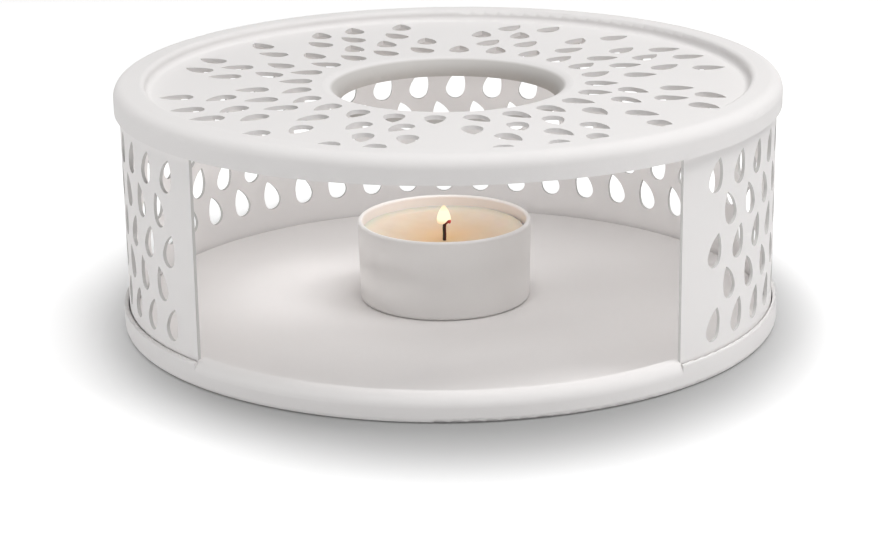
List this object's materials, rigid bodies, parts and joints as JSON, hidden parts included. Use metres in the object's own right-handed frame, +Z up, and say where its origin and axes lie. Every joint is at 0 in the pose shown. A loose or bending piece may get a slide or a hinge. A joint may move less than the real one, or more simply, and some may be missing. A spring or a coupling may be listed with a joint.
{
  "type": "teapot warmer",
  "caption": "Round perforated steel teapot warmer: lid with a central heat hole, pierced side band with an open front, tray, and a tealight in a cup.",
  "frame": {"origin": "centre of the underside, on the table", "axes": "+Z up, the open window faces -Y"},
  "size_m": [0.16, 0.16, 0.06],
  "materials": {
    "coated_steel": "matt white powder coat",
    "cup": "matt white",
    "wax": "soft wax",
    "wick": "charred cord",
    "tin": "bare tinplate"
  },
  "bodies": {
    "root": {"top_plate": "coated_steel", "side_band": "coated_steel", "base_tray": "coated_steel", "tealight_cup": "cup", "candle_wax": "wax", "wick": "wick", "wick_sustainer": "tin"}
  },
  "joints": []
}
